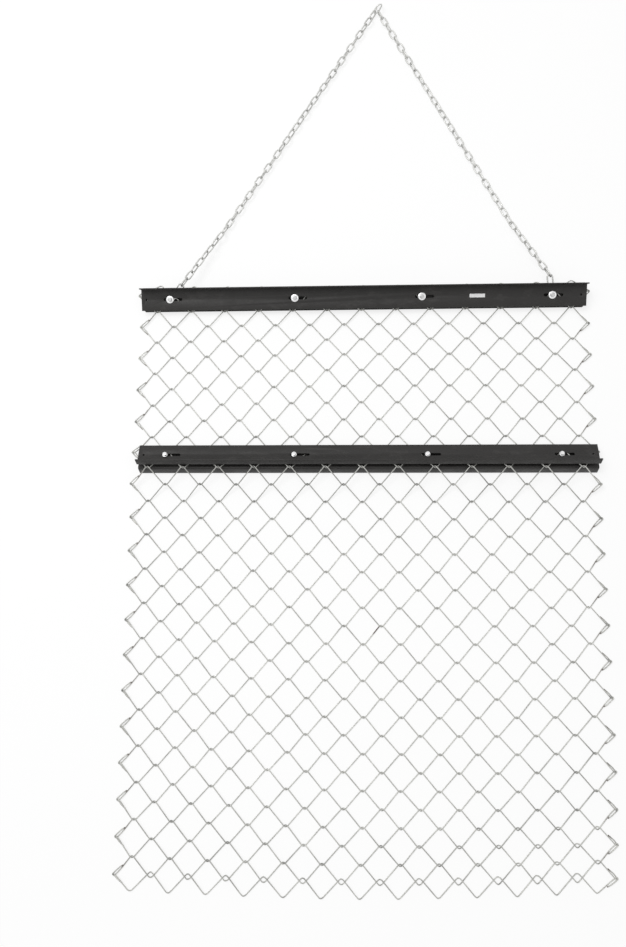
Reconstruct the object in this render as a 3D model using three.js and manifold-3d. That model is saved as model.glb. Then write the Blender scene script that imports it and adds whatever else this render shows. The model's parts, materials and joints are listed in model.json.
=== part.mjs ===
// Drag harrow mat: woven wire mesh held between two pairs of steel rails, with a chain V to tow it by.
// Millimetres. +Y is the way it is towed, +X is to the right, +Z is up, and the floor is at zero.
import * as THREE from "three";
import { mergeVertices } from "three/addons/utils/BufferGeometryUtils.js";
import Module from "manifold-3d";

const wasm = await Module();
wasm.setup();

// Driving dimensions

// Gap that two touching pieces keep, and how far two welded or fused pieces run into each other.
const seat_gap = 0.3;
const fuse_overlap = 0.2;

// Woven wire: each row is one zigzag wire, and each wire hooks into the next at its bends.
const wire_diameter = 3;
const diamond_width = 91.6;
const diamond_length = 86.5;
const diamonds_across = 13;
const mesh_rows = 36;
const weave_depth = 5.1;
const knuckle_reach = 3.3;
const bend_step = 3.6;

// Rails: pressed steel angles, two to each bar.
const rail_length = 1172;
const rail_wall = 3;
const rail_lip = 25;
const upper_flange = 58;
const lower_flange = 64;
const rail_bend_radius = 5;
const corner_clip = 6;
const outer_slot_inset = 85;
const slots_per_rail = 4;
const slot_length = 50;
const slot_width = 7.5;
const end_hole_diameter = 5.5;
const end_hole_inset = 14;

// How the mesh lies in the bars.
const front_bolts_behind_hooks = 9.25;
const second_bolts_behind_hooks = 10.25;
const front_row_slack = 12.25;
const last_row_slack = 8;
const front_lower_room = 2.6;
const second_upper_room = 2.2;
const second_lower_room = 1.2;
const rows_in_front_bar = 2;
const rows_to_second_bar = 10;

// Bolts, washers and nuts.
const bolt_diameter = 6;
const bolt_length = 30;
const hex_flats = 10;
const head_height = 4;
const nut_height = 5;
const washer_diameter = 20;
const washer_thickness = 1.5;
const front_bolts_from_slots = [-8, -8, -7, -3];
const second_bolts_from_slots = [-15, -15, -9, -7];
const bolt_wire_room = 0.5;
const front_bar_shift = 0;
const second_bar_shift = 10;

// Tow chain: a V of links from the two outer bolts of the front bar to one pull link.
const link_wire = 4;
const link_inside_length = 24;
const link_inside_width = 9.5;
const end_loop_inside_length = 54;
const pull_link_inside_length = 28;
const pull_link_inside_width = 14;
const hook_room = 0.5;
const end_loop_turns = [-10, -18];
const pull_link_turn = -25;
const pull_hook_room = 2.5;
const left_run_links = [9, 8, 8, 8, 8];
const right_run_links = [8, 8, 8, 8, 7];

// Shares of a piece's own sizes
const link_corner_shares = { along: 0.5, across: 0.65 };

// Facets
const wire_sides = 3;
const run_wire_sides = 3;
const end_wire_sides = 6;
const bolt_sides = 8;
const washer_sides = 12;
const bend_steps = 3;

// Worked out from the driving dimensions

const row_length = diamond_length / 2;
const front_row_length = row_length - front_row_slack;
const front_line_behind_bolts = row_length - front_bolts_behind_hooks;
const second_line_behind_bolts = row_length - second_bolts_behind_hooks;
const slot_spacing = (rail_length - 2 * outer_slot_inset) / (slots_per_rail - 1);
const half_weave = weave_depth / 2;
const half_width = (diamonds_across * diamond_width) / 2;

// A wire with flat sides is drawn a little fatter, so that it holds as much steel as the round one. One of
// its flats faces outward. The section reaches this far outward, the other way, and to each side.
function wireSection(diameter, sides) {
  const radius = (diameter / 2) * Math.sqrt((2 * Math.PI) / (sides * Math.sin((2 * Math.PI) / sides)));
  const turns = Array.from({ length: sides }, (_, k) => ((2 * k + 1) * Math.PI) / sides);
  return {
    turns,
    radius,
    above: radius * Math.max(...turns.map(Math.cos)),
    below: -radius * Math.min(...turns.map(Math.cos)),
    across: radius * Math.max(...turns.map(Math.sin)),
  };
}

const mesh_wire = wireSection(wire_diameter, wire_sides);
const run_wire = wireSection(link_wire, run_wire_sides);
const end_wire = wireSection(link_wire, end_wire_sides);
const mesh_half_thickness = half_weave + mesh_wire.above;

// A bar rests on the edge of its lower lip and on the edge of its lower flange, which sets its slope.
const tilt = Math.atan2(rail_lip - rail_wall, lower_flange - rail_wall);
const front_upper_room = end_wire.above + end_wire.below + 2 * seat_gap;
const front_clamp_gap = 2 * mesh_half_thickness + front_upper_room + front_lower_room;
const second_clamp_gap = 2 * mesh_half_thickness + second_upper_room + second_lower_room;
const washer_seat = rail_wall + seat_gap;

function slotPlace(i) {
  return (i - (slots_per_rail - 1) / 2) * slot_spacing;
}

// A bolt stands in its slot, pushed along it where that keeps it clear of the mesh wire. At the bolts' line
// the wires cross at both sides of each column of hooks.
function boltPlace(wanted, line_behind_bolts) {
  const strand_across = diamond_width / 2 - 2 * bend_step;
  const strand_back = row_length + 2 * knuckle_reach;
  const share_back = (row_length - line_behind_bolts + knuckle_reach) / strand_back;
  const wire_off = bend_step + share_back * strand_across;
  const stretch = Math.hypot(strand_across, strand_back) / strand_back;
  const room = (bolt_diameter / 2 + mesh_wire.across + bolt_wire_room) * stretch;
  const column = Math.round((wanted + half_width) / diamond_width) * diamond_width - half_width;
  const off = wanted - column;
  if (Math.abs(Math.abs(off) - wire_off) >= room) {
    return wanted;
  }
  const inside = Math.abs(off) < wire_off && wire_off > room;
  const clear_off = inside ? wire_off - room : Math.min(wire_off + room, diamond_width / 2);
  return column + Math.sign(off) * clear_off;
}

function boltPlaces(shift, from_slots, line_behind_bolts) {
  return from_slots.map((from_slot, i) => {
    return boltPlace(shift + slotPlace(i) + from_slot, line_behind_bolts);
  });
}

const front_bolt_places = boltPlaces(front_bar_shift, front_bolts_from_slots, front_line_behind_bolts);
const second_bolt_places = boltPlaces(second_bar_shift, second_bolts_from_slots, second_line_behind_bolts);

// Materials

function metal(color, roughness, metalness) {
  return new THREE.MeshStandardMaterial({ color, roughness, metalness });
}

const galvanised = metal(0xb4b7b4, 0.45, 0.85);
const black_paint = metal(0x2c2b2a, 0.5, 0.1);
const bright_zinc = metal(0xd8dad8, 0.3, 0.9);
const chain_zinc = metal(0xbfc2c0, 0.35, 0.9);

// Solids

function toSolid(geometry) {
  const bare = geometry.index ? geometry.clone() : geometry;
  bare.deleteAttribute("normal");
  bare.deleteAttribute("uv");
  const merged = mergeVertices(bare);
  const mesh = new wasm.Mesh({
    numProp: 3,
    vertProperties: new Float32Array(merged.attributes.position.array),
    triVerts: new Uint32Array(merged.index.array),
  });
  return new wasm.Manifold(mesh);
}

function toGeometry(solid) {
  const mesh = solid.getMesh();
  const geometry = new THREE.BufferGeometry();
  geometry.setAttribute("position", new THREE.BufferAttribute(new Float32Array(mesh.vertProperties), 3));
  geometry.setIndex(new THREE.BufferAttribute(new Uint32Array(mesh.triVerts), 1));
  geometry.computeVertexNormals();
  return geometry;
}

function cut(geometry, tools) {
  let solid = toSolid(geometry);
  for (const tool of tools) {
    solid = solid.subtract(toSolid(tool));
  }
  return toGeometry(solid);
}

function fuse(geometries) {
  let solid = toSolid(geometries[0]);
  for (const geometry of geometries.slice(1)) {
    solid = solid.add(toSolid(geometry));
  }
  return toGeometry(solid);
}

function addPiece(parent, name, geometry, material) {
  const piece = new THREE.Mesh(geometry, material);
  piece.name = name;
  parent.add(piece);
  return piece;
}

// Rings of wire corners joined into one closed tube. Each ring meets the next at the turn that keeps the
// edges between them shortest, so that the wire doesn't wring where it turns over.
function closedTube(rings) {
  const sides = rings[0].length;
  const positions = [];
  const index = [];
  const starts = [0];
  for (let i = 0; i < rings.length; i++) {
    const next = rings[(i + 1) % rings.length];
    let best = 0;
    let shortest = Infinity;
    for (let shift = 0; shift < sides; shift++) {
      let total = 0;
      for (let k = 0; k < sides; k++) {
        const from = rings[i][(k + starts[i]) % sides];
        total += from.distanceTo(next[(k + shift) % sides]);
      }
      if (total < shortest) {
        shortest = total;
        best = shift;
      }
    }
    starts.push(best);
  }
  rings.forEach((ring) => ring.forEach((corner) => positions.push(corner.x, corner.y, corner.z)));
  for (let i = 0; i < rings.length; i++) {
    const j = (i + 1) % rings.length;
    for (let k = 0; k < sides; k++) {
      const a = i * sides + ((k + starts[i]) % sides);
      const b = i * sides + ((k + 1 + starts[i]) % sides);
      const c = j * sides + ((k + starts[i + 1]) % sides);
      const d = j * sides + ((k + 1 + starts[i + 1]) % sides);
      index.push(a, b, c, b, d, c);
    }
  }
  const geometry = new THREE.BufferGeometry();
  geometry.setAttribute("position", new THREE.Float32BufferAttribute(positions, 3));
  geometry.setIndex(index);
  return geometry;
}

// One ring of a straight stretch of wire, cut off at the plane that halves its corner with the next stretch.
function mitredRing(corner, along, outward, other, section) {
  const across = new THREE.Vector3().crossVectors(along, outward);
  const plane = new THREE.Vector3().addVectors(along, other).normalize();
  const ring = [];
  for (const turn of section.turns) {
    const offset = outward.clone().multiplyScalar(section.radius * Math.cos(turn));
    offset.addScaledVector(across, section.radius * Math.sin(turn));
    const slide = -offset.dot(plane) / along.dot(plane);
    ring.push(offset.addScaledVector(along, slide).add(corner));
  }
  return ring;
}

// The mat's profile, seen from the side

// A point in the plane of a bar: how far it lies ahead of the bolts, and how far over the clamp's middle.
function inBar(bar, ahead, over) {
  const slope = bar.side * tilt;
  return new THREE.Vector2(
    bar.y + ahead * Math.cos(slope) - over * Math.sin(slope),
    bar.z + ahead * Math.sin(slope) + over * Math.cos(slope),
  );
}

function barHeight(clamp_gap) {
  const toe = lower_flange / 2;
  return toe * Math.sin(tilt) + (clamp_gap / 2 + rail_wall) * Math.cos(tilt);
}

// Each row of mesh: the line where its front bends hook, and the slope that it rises at towards the rear.
const front_bar = { side: 1, y: 0, z: barHeight(front_clamp_gap), gap: front_clamp_gap };
const front_mesh_over = -front_clamp_gap / 2 + front_lower_room + mesh_half_thickness;
const second_mesh_over = -second_clamp_gap / 2 + second_lower_room + mesh_half_thickness;
const rows = [];

function addRow(line, slope, length = row_length) {
  rows.push({ line, slope, length, slack: 0 });
  return new THREE.Vector2(line.x - length * Math.cos(slope), line.y + length * Math.sin(slope));
}

const front_line = inBar(front_bar, -front_line_behind_bolts, front_mesh_over);
const first_reach = front_row_length + row_length - front_line_behind_bolts;
addRow(inBar(front_bar, first_reach, front_mesh_over), -tilt, front_row_length);
let line = addRow(inBar(front_bar, row_length - front_line_behind_bolts, front_mesh_over), -tilt);

function slopeDown(from, length) {
  return -Math.asin((from.y - mesh_half_thickness) / length);
}

const front_slope = slopeDown(front_line, diamond_length);
while (rows.length < rows_to_second_bar) {
  line = addRow(line, rows.length < 2 * rows_in_front_bar ? front_slope : 0);
}
const second_bar = { side: -1, y: 0, z: barHeight(second_clamp_gap), gap: second_clamp_gap };
const second_mid = inBar(second_bar, second_bolts_behind_hooks, second_mesh_over);
const rise = Math.asin((second_mid.y - line.y) / row_length);
line = addRow(line, rise);
second_bar.y = line.x - second_mid.x;

// The mesh keeps to the second bar's slope until its hooks are past the flange.
for (let behind = -second_bolts_behind_hooks; behind < lower_flange / 2; behind += row_length) {
  line = addRow(line, tilt);
}
const rear_slope = slopeDown(line, diamond_length);
const sloping_rows_end = rows.length + 2;
while (rows.length < mesh_rows) {
  line = addRow(line, rows.length < sloping_rows_end ? rear_slope : 0);
}

// The last row isn't pulled tight: it has slid forward, and its hooks stand open.
const last_row = rows[mesh_rows - 1];
last_row.line.x += last_row_slack;
last_row.slack = last_row_slack;

// Mesh pairs

// A point on a row: across the mat, back from its front line, and over its middle plane.
function onRow(row, x, back, over) {
  return new THREE.Vector3(
    x,
    row.line.x - back * Math.cos(row.slope) + over * Math.sin(row.slope),
    row.line.y + back * Math.sin(row.slope) + over * Math.cos(row.slope),
  );
}

// Two rows, front and rear. Their ends are hooked together at both sides of the mat, so they make one
// piece. The wire runs to the right along the front row and comes back along the rear one. Strands that go
// right and rearwards lie on top, and the others lie below.
function pairCorners(front, rear) {
  const corners = [];
  const addTurn = (row, x, back, way, first_over) => {
    corners.push({ at: onRow(row, x - way * bend_step, back, first_over), row, over: first_over });
    corners.push({ at: onRow(row, x + way * bend_step, back, -first_over), row, over: -first_over });
  };
  const front_hook = -knuckle_reach;
  for (let i = 0; i < diamonds_across; i++) {
    const x = i * diamond_width - half_width;
    addTurn(front, x + diamond_width / 2, front_hook, 1, -half_weave);
    if (i < diamonds_across - 1) {
      addTurn(front, x + diamond_width, front.length + knuckle_reach, 1, half_weave);
    }
  }
  corners.push({ at: onRow(front, half_width, front.length, half_weave), row: front, over: half_weave });
  corners.push({ at: onRow(rear, half_width, rear.slack, -half_weave), row: rear, over: -half_weave });
  for (let i = diamonds_across; i > 0; i--) {
    const x = i * diamond_width - half_width;
    addTurn(rear, x - diamond_width / 2, rear.length + knuckle_reach, -1, -half_weave);
    if (i > 1) {
      addTurn(rear, x - diamond_width, front_hook, -1, half_weave);
    }
  }
  corners.push({ at: onRow(rear, -half_width, rear.slack, half_weave), row: rear, over: half_weave });
  corners.push({ at: onRow(front, -half_width, front.length, -half_weave), row: front, over: -half_weave });
  return corners;
}

// Corners come in twos: a turn from one side of the weave to the other, with a straight strand after it.
function pairGeometry(front, rear) {
  const corners = pairCorners(front, rear);
  const rings = corners.map((corner, i) => {
    const before = corners[(i + corners.length - 1) % corners.length];
    const after = corners[(i + 1) % corners.length];
    const arriving = new THREE.Vector3().subVectors(corner.at, before.at).normalize();
    const leaving = new THREE.Vector3().subVectors(after.at, corner.at).normalize();
    const strand_first = i % 2 === 0;
    const along = strand_first ? arriving : leaving;
    const other = strand_first ? leaving : arriving;
    const normal = new THREE.Vector3(0, Math.sin(corner.row.slope), Math.cos(corner.row.slope));
    const outward = normal.multiplyScalar(Math.sign(corner.over));
    outward.addScaledVector(along, -outward.dot(along)).normalize();
    return mitredRing(corner.at, along, outward, other, mesh_wire);
  });
  return closedTube(rings);
}

const root = new THREE.Group();

for (let i = 0; i < mesh_rows; i += 2) {
  const number = String(i / 2 + 1).padStart(2, "0");
  addPiece(root, "mesh_pair_" + number, pairGeometry(rows[i], rows[i + 1]), galvanised);
}

// Rails

// Section of an angle: the flange runs from the wall to its toe, and the lip stands at the wall.
function railSection(flange, side, lip_way) {
  const wall = (side * flange) / 2;
  const toe = -wall;
  const inner_radius = rail_bend_radius - rail_wall;
  const section = new THREE.Shape();
  const lip_end = lip_way * rail_lip;
  const inside = lip_way * rail_wall;
  section.moveTo(toe, 0);
  for (let i = 0; i <= bend_steps; i++) {
    const turn = (i / bend_steps) * (Math.PI / 2);
    const from_wall = rail_bend_radius * (1 - Math.sin(turn));
    const from_face = rail_bend_radius * (1 - Math.cos(turn));
    section.lineTo(wall - side * from_wall, lip_way * from_face);
  }
  section.lineTo(wall, lip_end);
  section.lineTo(wall - side * rail_wall, lip_end);
  for (let i = bend_steps; i >= 0; i--) {
    const turn = (i / bend_steps) * (Math.PI / 2);
    const from_wall = rail_wall + inner_radius * (1 - Math.sin(turn));
    const from_face = rail_wall + inner_radius * (1 - Math.cos(turn));
    section.lineTo(wall - side * from_wall, lip_way * from_face);
  }
  section.lineTo(toe, inside);
  return section;
}

function alongX(geometry) {
  // The section is drawn in the first two axes and drawn out along the third: it is turned to lie across.
  geometry.rotateX(Math.PI / 2);
  geometry.rotateZ(Math.PI / 2);
  return geometry;
}

function slotTool(x, length, width, depth) {
  const half = length / 2 - width / 2;
  const outline = new THREE.Shape();
  outline.moveTo(x - half, -width / 2);
  outline.lineTo(x + half, -width / 2);
  outline.absarc(x + half, 0, width / 2, -Math.PI / 2, Math.PI / 2, false);
  outline.lineTo(x - half, width / 2);
  outline.absarc(x - half, 0, width / 2, Math.PI / 2, (3 * Math.PI) / 2, false);
  const extent = { depth: 2 * depth, bevelEnabled: false, curveSegments: bend_steps };
  const tool = new THREE.ExtrudeGeometry(outline, extent);
  return tool.translate(0, 0, -depth);
}

function clipTool(x_side, toe) {
  const tool = new THREE.BoxGeometry(Math.SQRT2 * corner_clip, Math.SQRT2 * corner_clip, 2 * rail_lip);
  tool.rotateZ(Math.PI / 4);
  return tool.translate((x_side * rail_length) / 2, toe, 0);
}

function railGeometry(flange, side, lip_way, clipped) {
  const section = railSection(flange, side, lip_way);
  const raw = new THREE.ExtrudeGeometry(section, { depth: rail_length, bevelEnabled: false });
  raw.translate(0, 0, -rail_length / 2);
  const blank = alongX(raw);
  const tools = [];
  for (let i = 0; i < slots_per_rail; i++) {
    tools.push(slotTool(slotPlace(i), slot_length, slot_width, 2 * rail_wall));
  }
  for (const x_side of [-1, 1]) {
    const hole = new THREE.CylinderGeometry(
      end_hole_diameter / 2,
      end_hole_diameter / 2,
      4 * rail_wall,
      bolt_sides,
    );
    hole.rotateX(Math.PI / 2);
    tools.push(hole.translate(x_side * (rail_length / 2 - end_hole_inset), 0, 0));
    if (clipped) {
      tools.push(clipTool(x_side, (-side * flange) / 2));
    }
  }
  return cut(blank, tools);
}

// Bolts, washers and nuts

function boltGeometry() {
  const head_radius = hex_flats / Math.sqrt(3);
  const head = new THREE.CylinderGeometry(head_radius, head_radius, head_height, 6);
  head.rotateX(Math.PI / 2).translate(0, 0, head_height / 2);
  const shank = new THREE.CylinderGeometry(bolt_diameter / 2, bolt_diameter / 2, bolt_length, bolt_sides);
  shank.rotateX(Math.PI / 2).translate(0, 0, -bolt_length / 2 + fuse_overlap);
  return fuse([head, shank]);
}

function circlePath(radius, sides, shape) {
  for (let i = 0; i < sides; i++) {
    const turn = (i * 2 * Math.PI) / sides;
    const x = radius * Math.cos(turn);
    const y = radius * Math.sin(turn);
    if (i === 0) {
      shape.moveTo(x, y);
    } else {
      shape.lineTo(x, y);
    }
  }
  shape.closePath();
  return shape;
}

function ringGeometry(outer_radius, outer_sides, height) {
  const outline = circlePath(outer_radius, outer_sides, new THREE.Shape());
  outline.holes.push(circlePath(bolt_diameter / 2 + seat_gap, bolt_sides, new THREE.Path()));
  return new THREE.ExtrudeGeometry(outline, { depth: height, bevelEnabled: false });
}

function addBar(name, bar, shift, bolt_places) {
  const group = new THREE.Group();
  group.position.set(0, bar.y, bar.z);
  group.rotation.x = bar.side * tilt;
  root.add(group);
  const half_gap = bar.gap / 2;
  const upper = railGeometry(upper_flange, bar.side, 1, false);
  addPiece(group, name + "_upper_rail", upper, black_paint).position.set(shift, 0, half_gap);
  const lower = railGeometry(lower_flange, bar.side, -1, true);
  addPiece(group, name + "_lower_rail", lower, black_paint).position.set(shift, 0, -half_gap);
  bolt_places.forEach((x, i) => {
    const label = "_" + (i + 1);
    const washer_z = half_gap + washer_seat;
    const washer = ringGeometry(washer_diameter / 2, washer_sides, washer_thickness);
    addPiece(group, name + "_washer" + label, washer, bright_zinc).position.set(x, 0, washer_z);
    const head_z = washer_z + washer_thickness + seat_gap;
    addPiece(group, name + "_bolt" + label, boltGeometry(), bright_zinc).position.set(x, 0, head_z);
    const nut = ringGeometry(hex_flats / Math.sqrt(3), 6, nut_height);
    const nut_z = -half_gap - washer_seat - nut_height;
    addPiece(group, name + "_nut" + label, nut, bright_zinc).position.set(x, 0, nut_z);
  });
  return group;
}

const front_group = addBar("front", front_bar, front_bar_shift, front_bolt_places);
addBar("second", second_bar, second_bar_shift, second_bolt_places);

// Tow chain

// One link, a closed loop of wire, placed by its middle, its long axis and the normal of its plane.
function linkGeometry(middle, along, normal, inside_length, inside_width, section) {
  const end = (inside_length + link_wire) / 2;
  const side = (inside_width + link_wire) / 2;
  const across = new THREE.Vector3().crossVectors(normal, along);
  const near_end = end - link_corner_shares.along * side;
  const near_side = side * link_corner_shares.across;
  const outline = [];
  for (const [way, turn] of [[1, 1], [-1, -1]]) {
    outline.push([way * near_end, -turn * side], [way * end, -turn * near_side]);
    outline.push([way * end, turn * near_side], [way * near_end, turn * side]);
  }
  const corners = outline.map(([a, b]) => {
    return middle.clone().addScaledVector(along, a).addScaledVector(across, b);
  });
  const rings = corners.map((corner, i) => {
    const before = corners[(i + corners.length - 1) % corners.length];
    const after = corners[(i + 1) % corners.length];
    const arriving = new THREE.Vector3().subVectors(corner, before).normalize();
    const leaving = new THREE.Vector3().subVectors(after, corner).normalize();
    return mitredRing(corner, arriving, normal, leaving, section);
  });
  return closedTube(rings);
}

const up = new THREE.Vector3(0, 0, 1);

// A straight run of links, fused where they touch. The first one hooks round the wire at the start point,
// and the run's length is measured from there to the last one's far wire.
const link_reach = (link_inside_length + link_wire) / 2;
const link_pitch = link_inside_length + fuse_overlap;
const run_hook = 2 * run_wire.across + hook_room;
const end_hook = end_wire.across + run_wire.across + 2 * hook_room;

function runLength(links, hook) {
  return 2 * link_reach - hook + (links - 1) * link_pitch;
}

function runGeometry(start, along, links, first_upright, hook) {
  const across = new THREE.Vector3().crossVectors(along, up).normalize();
  const lift = new THREE.Vector3().crossVectors(across, along);
  const parts = [];
  for (let i = 0; i < links; i++) {
    const middle = start.clone().addScaledVector(along, link_reach - hook + i * link_pitch);
    const normal = (i % 2 === 0) === first_upright ? across : lift;
    parts.push(linkGeometry(middle, along, normal, link_inside_length, link_inside_width, run_wire));
  }
  return fuse(parts);
}

// Where two circles about a and b meet, on the side ahead of them.
function meet(a, a_radius, b, b_radius) {
  const span = a.distanceTo(b);
  const along = (a_radius ** 2 - b_radius ** 2 + span ** 2) / (2 * span);
  const off = Math.sqrt(a_radius ** 2 - along ** 2);
  const way = new THREE.Vector2().subVectors(b, a).normalize();
  return a.clone().addScaledVector(way, along).add(new THREE.Vector2(-way.y, way.x).multiplyScalar(off));
}

const chain_rest = (link_inside_width + link_wire) / 2 + run_wire.across;
const loop_over = front_clamp_gap / 2 - seat_gap - end_wire.above;
const loop_half_length = (end_loop_inside_length + link_wire) / 2;
const loop_middle = loop_half_length - end_wire.across - bolt_diameter / 2 - seat_gap;
const loop_reach = loop_middle + loop_half_length;
const last_bolt = front_bolt_places.length - 1;
const legs = [
  { name: "left", bolt: front_bolt_places[0], runs: left_run_links },
  { name: "right", bolt: front_bolt_places[last_bolt], runs: right_run_links },
];
const bolt_points = legs.map((leg) => new THREE.Vector2(leg.bolt, front_bar.y));

function laterRuns(leg) {
  return leg.runs.slice(1).reduce((sum, links) => sum + runLength(links, run_hook), 0);
}

const rough_reach = legs.map((leg) => {
  return loop_reach * Math.cos(tilt) + runLength(leg.runs[0], end_hook) + laterRuns(leg);
});
const rough_apex = meet(bolt_points[0], rough_reach[0], bolt_points[1], rough_reach[1]);

// The end loop lies in the bar's own plane, and its far wire is what the first run hooks round.
legs.forEach((leg, i) => {
  const heading = new THREE.Vector2().subVectors(rough_apex, bolt_points[i]).normalize();
  heading.rotateAround(new THREE.Vector2(), THREE.MathUtils.degToRad(end_loop_turns[i]));
  leg.heading = new THREE.Vector3(heading.x, heading.y / Math.cos(tilt), 0).normalize();
  const tip = inBar(front_bar, leg.heading.y * loop_reach, loop_over);
  leg.start = new THREE.Vector3(leg.bolt + leg.heading.x * loop_reach, tip.x, tip.y);
  const middle = new THREE.Vector3(leg.bolt, 0, loop_over).addScaledVector(leg.heading, loop_middle);
  const loop = linkGeometry(middle, leg.heading, up, end_loop_inside_length, link_inside_width, end_wire);
  addPiece(front_group, "chain_end_loop_" + leg.name, loop, chain_zinc);
  const drop = leg.start.z - chain_rest;
  leg.flat_reach = Math.sqrt(runLength(leg.runs[0], end_hook) ** 2 - drop ** 2);
  leg.reach = leg.flat_reach + laterRuns(leg);
});

// The two last links stand side by side in the pull link's eye.
const eye_side = pull_link_inside_width / 4;
const starts = legs.map((leg, i) => {
  return new THREE.Vector2(leg.start.x + (i === 0 ? eye_side : -eye_side), leg.start.y);
});
const apex = meet(starts[0], legs[0].reach, starts[1], legs[1].reach);

legs.forEach((leg, i) => {
  const target = new THREE.Vector2(apex.x + (i === 0 ? -eye_side : eye_side), apex.y);
  const heading = target.sub(new THREE.Vector2(leg.start.x, leg.start.y)).normalize();
  let at = leg.start.clone();
  let links_before = 0;
  leg.runs.forEach((links, run) => {
    const hook = run === 0 ? end_hook : run_hook;
    const reach = run === 0 ? leg.flat_reach : runLength(links, hook);
    const next = new THREE.Vector3(at.x + heading.x * reach, at.y + heading.y * reach, chain_rest);
    const along = new THREE.Vector3().subVectors(next, at).normalize();
    const geometry = runGeometry(at, along, links, links_before % 2 === 0, hook);
    addPiece(root, "chain_" + leg.name + "_" + (run + 1), geometry, chain_zinc);
    at = next;
    links_before += links;
  });
});

// The pull link lies flat, turned a little, with the last links' wires at the rear of its eye.
const turn = THREE.MathUtils.degToRad(pull_link_turn);
const pull_along = new THREE.Vector3(-Math.sin(turn), Math.cos(turn), 0);
const pull_reach = (pull_link_inside_length + link_wire) / 2;
const pull_hook = end_wire.across + run_wire.across + pull_hook_room;
const pull_middle = new THREE.Vector3(apex.x, apex.y, chain_rest);
pull_middle.addScaledVector(pull_along, pull_reach - pull_hook);
const eye = [pull_link_inside_length, pull_link_inside_width];
addPiece(root, "pull_link", linkGeometry(pull_middle, pull_along, up, ...eye, end_wire), chain_zinc);

// The origin is on the floor, under the middle of the whole part.
root.updateMatrixWorld(true);
const box = new THREE.Box3().setFromObject(root, true);
const centre = box.getCenter(new THREE.Vector3());
root.position.set(-centre.x, -centre.y, -box.min.z);

export default root;
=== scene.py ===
import json
import math
import random
from collections import namedtuple

import bmesh
import bpy
from bpy.props import FloatProperty, FloatVectorProperty, IntProperty, PointerProperty
from bpy.types import Operator, Panel, PropertyGroup
from mathutils import Matrix, Vector


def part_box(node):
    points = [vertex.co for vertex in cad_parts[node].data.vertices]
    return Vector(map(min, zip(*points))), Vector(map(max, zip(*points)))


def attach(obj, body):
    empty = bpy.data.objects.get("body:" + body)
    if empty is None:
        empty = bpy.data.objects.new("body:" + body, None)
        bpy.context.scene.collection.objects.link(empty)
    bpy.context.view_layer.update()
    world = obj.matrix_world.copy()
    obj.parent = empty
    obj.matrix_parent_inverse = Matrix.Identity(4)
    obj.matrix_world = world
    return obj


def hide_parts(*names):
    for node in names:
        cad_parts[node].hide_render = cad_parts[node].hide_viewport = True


bl_info = {
    "name": "Drag mat dressing",
    "version": (1, 0),
    "blender": (4, 5, 0),
    "location": "View3D > Sidebar > Drag mat",
    "description": "Models the woven wire, rails, bolts and chain of a drag mat over its packed frame",
    "category": "Object",
}

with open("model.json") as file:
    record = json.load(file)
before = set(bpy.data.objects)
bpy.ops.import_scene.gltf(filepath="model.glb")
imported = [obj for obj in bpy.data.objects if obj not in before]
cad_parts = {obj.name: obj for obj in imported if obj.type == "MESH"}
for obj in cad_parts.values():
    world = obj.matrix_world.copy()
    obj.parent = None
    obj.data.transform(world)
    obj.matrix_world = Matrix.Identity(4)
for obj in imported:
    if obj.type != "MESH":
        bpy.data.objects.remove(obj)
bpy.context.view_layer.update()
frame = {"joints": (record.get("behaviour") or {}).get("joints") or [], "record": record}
mm = 0.001


# Sizes shared with the part's source

seat_gap = 0.3 * mm
fuse_overlap = 0.2 * mm

diamonds_across = 13
mesh_rows = 36
rows_in_front_bar = 2
rows_to_second_bar = 10
mesh_wire = 3 * mm
diamond_length = 86.5 * mm
row_length = diamond_length / 2
front_row_length = 31 * mm
last_row_slack = 8 * mm
half_weave = 2.55 * mm

rail_length = 1172 * mm
rail_wall = 3 * mm
rail_lip = 25 * mm
upper_flange = 58 * mm
lower_flange = 64 * mm
rail_bend_radius = 5 * mm
corner_clip = 6 * mm
slots_per_rail = 4
slot_length = 50 * mm
slot_width = 7.5 * mm
outer_slot_inset = 85 * mm
end_hole_diameter = 5.5 * mm
end_hole_inset = 14 * mm
second_bar_shift = 10 * mm
front_bolt_places = [-509 * mm, -175 * mm, 160 * mm, 498 * mm]
second_bolt_places = [-506 * mm, -172 * mm, 168 * mm, 504 * mm]
front_line_behind_bolts = 34 * mm
second_line_behind_bolts = 33 * mm
front_lower_room = 2.6 * mm
second_upper_room = 2.2 * mm
second_lower_room = 1.2 * mm

bolt_diameter = 6 * mm
bolt_length = 30 * mm
hex_flats = 10 * mm
head_height = 4 * mm
nut_height = 5 * mm
washer_thickness = 1.5 * mm

link_wire = 4 * mm
link_inside_length = 24 * mm
link_inside_width = 9.5 * mm
end_loop_inside_length = 54 * mm
pull_link_inside_length = 28 * mm
pull_link_inside_width = 14 * mm
hook_room = 0.5 * mm
pull_hook_room = 2.5 * mm

Section = namedtuple("Section", "above below across")
Bar = namedtuple("Bar", "name side y z gap flange_shift bolts body")
Row = namedtuple("Row", "y z slope length slack")


def flat_sided(diameter, sides):
    """How far the source's flat-sided wire reaches outward, the other way, and to each side."""
    radius = diameter / 2 * math.sqrt(2 * math.pi / (sides * math.sin(2 * math.pi / sides)))
    turns = [(2 * k + 1) * math.pi / sides for k in range(sides)]
    above = radius * max(math.cos(turn) for turn in turns)
    below = -radius * min(math.cos(turn) for turn in turns)
    return Section(above, below, radius * max(math.sin(turn) for turn in turns))


run_wire = flat_sided(link_wire, 3)
end_wire = flat_sided(link_wire, 6)
rail_tilt = math.atan2(rail_lip - rail_wall, lower_flange - rail_wall)
mesh_half_thickness = half_weave + flat_sided(mesh_wire, 3).above
front_upper_room = end_wire.above + end_wire.below + 2 * seat_gap
front_clamp_gap = 2 * mesh_half_thickness + front_upper_room + front_lower_room
second_clamp_gap = 2 * mesh_half_thickness + second_upper_room + second_lower_room


# How the photo shows the net, beside the source's even one

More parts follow.
